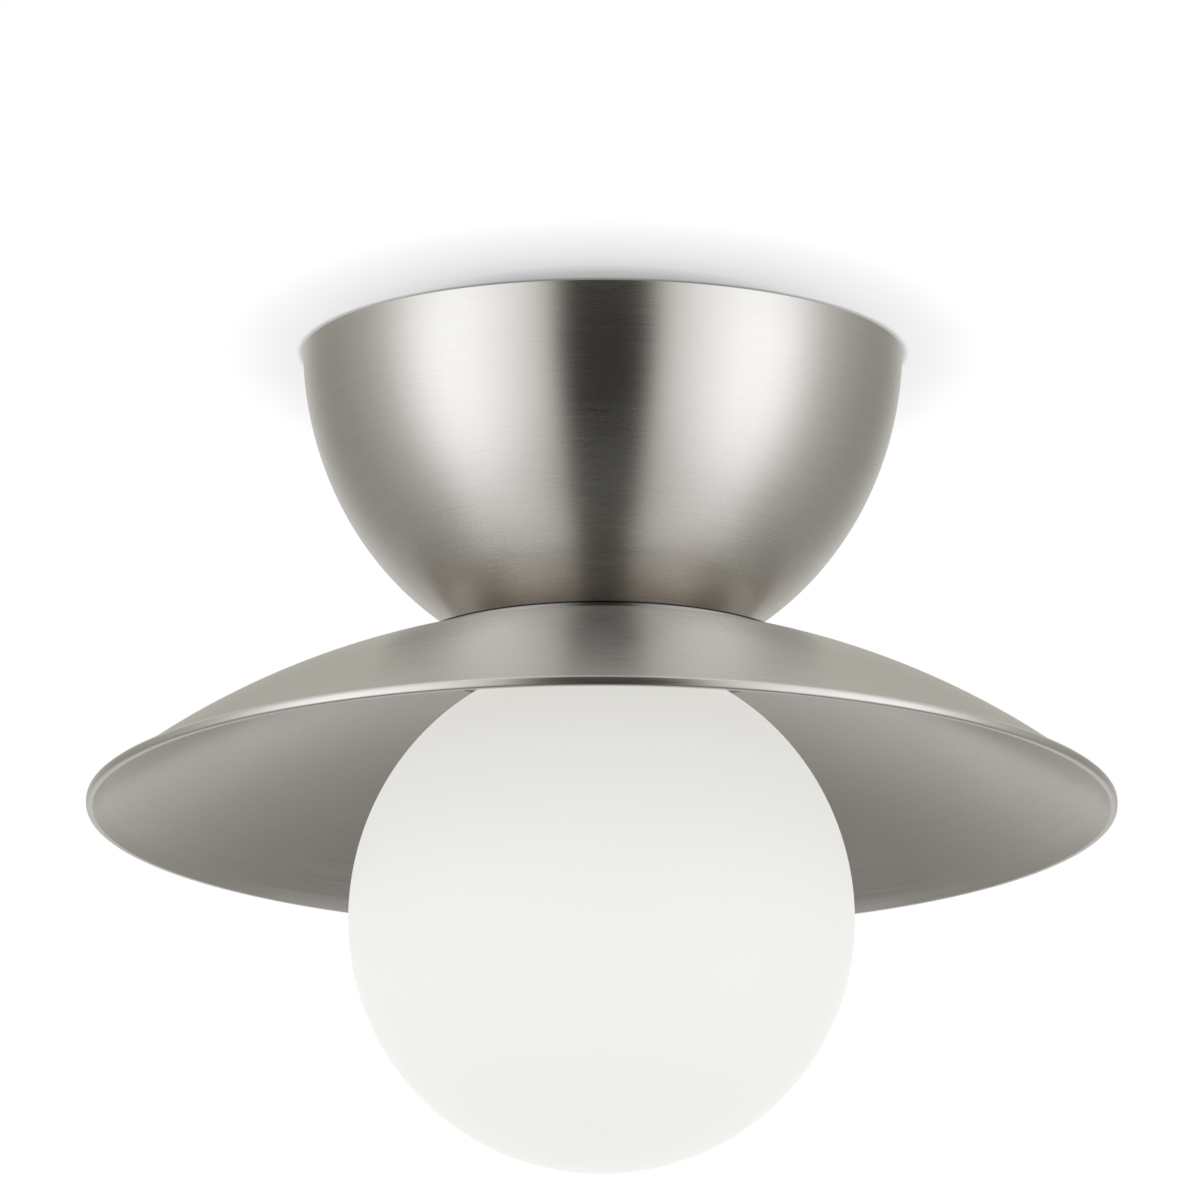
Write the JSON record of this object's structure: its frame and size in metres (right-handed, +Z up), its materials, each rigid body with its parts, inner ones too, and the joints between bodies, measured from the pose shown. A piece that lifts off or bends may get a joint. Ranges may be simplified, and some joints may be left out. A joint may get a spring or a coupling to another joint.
{
  "type": "flush mount ceiling light",
  "caption": "Flush mount ceiling light with a deep spun canopy, a wide shallow dish shade and a round opal glass globe over one screw-in lamp.",
  "frame": {"origin": "centre of the ceiling face, where the crossbar and the canopy's rim meet the ceiling", "axes": "+Z up into the ceiling along the light's own axis, X along the crossbar, the light hanging towards -Z"},
  "size_m": [0.3556, 0.3556, 0.2885],
  "materials": {
    "brushed_nickel": "brushed, satin",
    "zinc_steel": "zinc plated",
    "green_steel": "green dyed",
    "brass": "plain",
    "lamp_cap": "satin",
    "porcelain": "glazed",
    "opal_glass": "satin opal",
    "silicone": "matt",
    "white_plastic": "fine matt",
    "black_glass": "gloss",
    "black_insulation": "satin",
    "white_insulation": "satin",
    "green_insulation": "satin",
    "orange_plastic": "satin"
  },
  "bodies": {
    "fixture": {"mounting_strap": "zinc_steel", "mounting_studs": "zinc_steel", "stud_lock_nuts": "zinc_steel", "stud_cap_nuts": "brushed_nickel", "ground_screw": "green_steel", "ground_ring_upper": "brass", "ground_ring_lower": "brass", "ground_lead": "green_insulation", "canopy": "brushed_nickel", "canopy_washer": "zinc_steel", "upper_lock_washer": "zinc_steel", "upper_nipple_nut": "zinc_steel", "wiring_nipple": "zinc_steel", "wire_bushings": "white_plastic", "shade_dish": "brushed_nickel", "globe_fitter": "brushed_nickel", "lampholder_bracket": "zinc_steel", "lower_lock_washer": "zinc_steel", "lower_nipple_nut": "zinc_steel", "bracket_screws": "zinc_steel", "lampholder_body": "porcelain", "socket_shell": "lamp_cap", "center_contact": "brass", "contact_rivets": "brass", "line_terminal": "brass", "neutral_terminal": "zinc_steel", "terminal_screws": "brass", "line_lead": "black_insulation", "neutral_lead": "white_insulation", "line_wire_connector": "orange_plastic", "neutral_wire_connector": "orange_plastic"},
    "gasket": {"globe_gasket": "silicone"},
    "globe": {"globe_glass": "opal_glass"},
    "lamp": {"bulb_tip_contact": "lamp_cap", "bulb_insulator": "black_glass", "bulb_screw_base": "lamp_cap", "bulb_housing": "white_plastic", "bulb_led_board": "lamp_cap", "bulb_diffuser": "white_plastic"}
  },
  "joints": [
    {"name": "globe_lower", "type": "slide", "parent": "fixture", "child": "gasket", "axis": [0, 0, -1], "range_m": [0, 0.14]},
    {"name": "globe_turn", "type": "hinge", "parent": "gasket", "child": "globe", "pos_m": [0, 0, -0.12], "axis": [0, 0, 1], "range_deg": [0, 720]},
    {"name": "lamp_out", "type": "slide", "parent": "fixture", "child": "lamp", "axis": [0, 0, -1], "range_m": [0, 0.032]}
  ]
}
